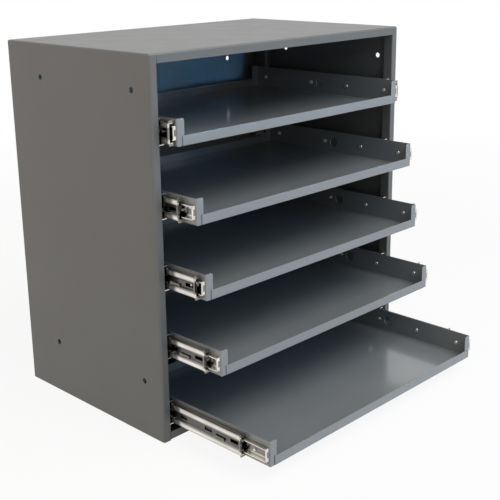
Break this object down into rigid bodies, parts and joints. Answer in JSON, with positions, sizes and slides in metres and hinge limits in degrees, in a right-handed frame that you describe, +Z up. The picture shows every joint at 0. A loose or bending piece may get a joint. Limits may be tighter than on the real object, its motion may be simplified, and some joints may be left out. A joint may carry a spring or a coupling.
{
  "type": "slide rack",
  "caption": "Folded steel rack with an open front and shallow pull-out trays on three-part ball bearing slides, for storage bins.",
  "frame": {"origin": "middle of the cabinet's footprint, on the ground", "axes": "+Z up, the open front faces -Y, +X to the right when facing the rack's back wall from the front"},
  "size_m": [0.5174, 0.4945, 0.5334],
  "materials": {
    "cabinet_paint": "satin grey powder coat",
    "tray_paint": "satin grey powder coat",
    "zinc_plate": "bright zinc plate",
    "bearing_steel": "plain bright steel",
    "screw_steel": "bright zinc plate"
  },
  "bodies": {
    "cabinet": {"cabinet_shell": "cabinet_paint", "bottom_panel": "cabinet_paint", "back_panel": "cabinet_paint", "left_rear_post": "cabinet_paint", "right_rear_post": "cabinet_paint", "left_slide_screws": "screw_steel", "right_slide_screws": "screw_steel", "left_outer_member_1": "zinc_plate", "right_outer_member_1": "zinc_plate", "left_outer_member_2": "zinc_plate", "right_outer_member_2": "zinc_plate", "left_outer_member_3": "zinc_plate", "right_outer_member_3": "zinc_plate", "left_outer_member_4": "zinc_plate", "right_outer_member_4": "zinc_plate", "left_outer_member_5": "zinc_plate", "right_outer_member_5": "zinc_plate"},
    "middle_1": {"left_middle_member_1": "zinc_plate", "right_middle_member_1": "zinc_plate"},
    "tray_1": {"tray_1": "tray_paint", "tray_screws_1": "screw_steel", "left_inner_member_1": "zinc_plate", "right_inner_member_1": "zinc_plate"},
    "outer_cages_1": {"outer_ball_cages_1": "bearing_steel"},
    "inner_cages_1": {"inner_ball_cages_1": "bearing_steel"},
    "middle_2": {"left_middle_member_2": "zinc_plate", "right_middle_member_2": "zinc_plate"},
    "tray_2": {"tray_2": "tray_paint", "tray_screws_2": "screw_steel", "left_inner_member_2": "zinc_plate", "right_inner_member_2": "zinc_plate"},
    "outer_cages_2": {"outer_ball_cages_2": "bearing_steel"},
    "inner_cages_2": {"inner_ball_cages_2": "bearing_steel"},
    "middle_3": {"left_middle_member_3": "zinc_plate", "right_middle_member_3": "zinc_plate"},
    "tray_3": {"tray_3": "tray_paint", "tray_screws_3": "screw_steel", "left_inner_member_3": "zinc_plate", "right_inner_member_3": "zinc_plate"},
    "outer_cages_3": {"outer_ball_cages_3": "bearing_steel"},
    "inner_cages_3": {"inner_ball_cages_3": "bearing_steel"},
    "middle_4": {"left_middle_member_4": "zinc_plate", "right_middle_member_4": "zinc_plate"},
    "tray_4": {"tray_4": "tray_paint", "tray_screws_4": "screw_steel", "left_inner_member_4": "zinc_plate", "right_inner_member_4": "zinc_plate"},
    "outer_cages_4": {"outer_ball_cages_4": "bearing_steel"},
    "inner_cages_4": {"inner_ball_cages_4": "bearing_steel"},
    "middle_5": {"left_middle_member_5": "zinc_plate", "right_middle_member_5": "zinc_plate"},
    "tray_5": {"tray_5": "tray_paint", "tray_screws_5": "screw_steel", "left_inner_member_5": "zinc_plate", "right_inner_member_5": "zinc_plate"},
    "outer_cages_5": {"outer_ball_cages_5": "bearing_steel"},
    "inner_cages_5": {"inner_ball_cages_5": "bearing_steel"}
  },
  "joints": [
    {"name": "middle_slide_1", "type": "slide", "parent": "cabinet", "child": "middle_1", "axis": [0, -1, 0], "range_m": [-0.016, 0.1364]},
    {"name": "tray_slide_1", "type": "slide", "parent": "middle_1", "child": "tray_1", "axis": [0, -1, 0], "range_m": [-0.0042, 0.1482]},
    {"name": "outer_cage_slide_1", "type": "slide", "parent": "cabinet", "child": "outer_cages_1", "axis": [0, -1, 0], "range_m": [-0.008, 0.0682]},
    {"name": "inner_cage_slide_1", "type": "slide", "parent": "middle_1", "child": "inner_cages_1", "axis": [0, -1, 0], "range_m": [-0.0021, 0.0741]},
    {"name": "middle_slide_2", "type": "slide", "parent": "cabinet", "child": "middle_2", "axis": [0, -1, 0], "range_m": [-0.029, 0.1234]},
    {"name": "tray_slide_2", "type": "slide", "parent": "middle_2", "child": "tray_2", "axis": [0, -1, 0], "range_m": [-0.0231, 0.1293]},
    {"name": "outer_cage_slide_2", "type": "slide", "parent": "cabinet", "child": "outer_cages_2", "axis": [0, -1, 0], "range_m": [-0.0145, 0.0617]},
    {"name": "inner_cage_slide_2", "type": "slide", "parent": "middle_2", "child": "inner_cages_2", "axis": [0, -1, 0], "range_m": [-0.01155, 0.06465]},
    {"name": "middle_slide_3", "type": "slide", "parent": "cabinet", "child": "middle_3", "axis": [0, -1, 0], "range_m": [-0.057, 0.0954]},
    {"name": "tray_slide_3", "type": "slide", "parent": "middle_3", "child": "tray_3", "axis": [0, -1, 0], "range_m": [-0.0092, 0.1432]},
    {"name": "outer_cage_slide_3", "type": "slide", "parent": "cabinet", "child": "outer_cages_3", "axis": [0, -1, 0], "range_m": [-0.0285, 0.0477]},
    {"name": "inner_cage_slide_3", "type": "slide", "parent": "middle_3", "child": "inner_cages_3", "axis": [0, -1, 0], "range_m": [-0.0046, 0.0716]},
    {"name": "middle_slide_4", "type": "slide", "parent": "cabinet", "child": "middle_4", "axis": [0, -1, 0], "range_m": [-0.071, 0.0814]},
    {"name": "tray_slide_4", "type": "slide", "parent": "middle_4", "child": "tray_4", "axis": [0, -1, 0], "range_m": [-0.0202, 0.1322]},
    {"name": "outer_cage_slide_4", "type": "slide", "parent": "cabinet", "child": "outer_cages_4", "axis": [0, -1, 0], "range_m": [-0.0355, 0.0407]},
    {"name": "inner_cage_slide_4", "type": "slide", "parent": "middle_4", "child": "inner_cages_4", "axis": [0, -1, 0], "range_m": [-0.0101, 0.0661]},
    {"name": "middle_slide_5", "type": "slide", "parent": "cabinet", "child": "middle_5", "axis": [0, -1, 0], "range_m": [-0.135, 0.0174]},
    {"name": "tray_slide_5", "type": "slide", "parent": "middle_5", "child": "tray_5", "axis": [0, -1, 0], "range_m": [-0.042, 0.1104]},
    {"name": "outer_cage_slide_5", "type": "slide", "parent": "cabinet", "child": "outer_cages_5", "axis": [0, -1, 0], "range_m": [-0.0675, 0.0087]},
    {"name": "inner_cage_slide_5", "type": "slide", "parent": "middle_5", "child": "inner_cages_5", "axis": [0, -1, 0], "range_m": [-0.021, 0.0552]}
  ],
  "couplings": [
    {"joint": "outer_cage_slide_1", "follows": "middle_slide_1", "ratio": 0.5},
    {"joint": "inner_cage_slide_1", "follows": "tray_slide_1", "ratio": 0.5},
    {"joint": "outer_cage_slide_2", "follows": "middle_slide_2", "ratio": 0.5},
    {"joint": "inner_cage_slide_2", "follows": "tray_slide_2", "ratio": 0.5},
    {"joint": "outer_cage_slide_3", "follows": "middle_slide_3", "ratio": 0.5},
    {"joint": "inner_cage_slide_3", "follows": "tray_slide_3", "ratio": 0.5},
    {"joint": "outer_cage_slide_4", "follows": "middle_slide_4", "ratio": 0.5},
    {"joint": "inner_cage_slide_4", "follows": "tray_slide_4", "ratio": 0.5},
    {"joint": "outer_cage_slide_5", "follows": "middle_slide_5", "ratio": 0.5},
    {"joint": "inner_cage_slide_5", "follows": "tray_slide_5", "ratio": 0.5}
  ]
}
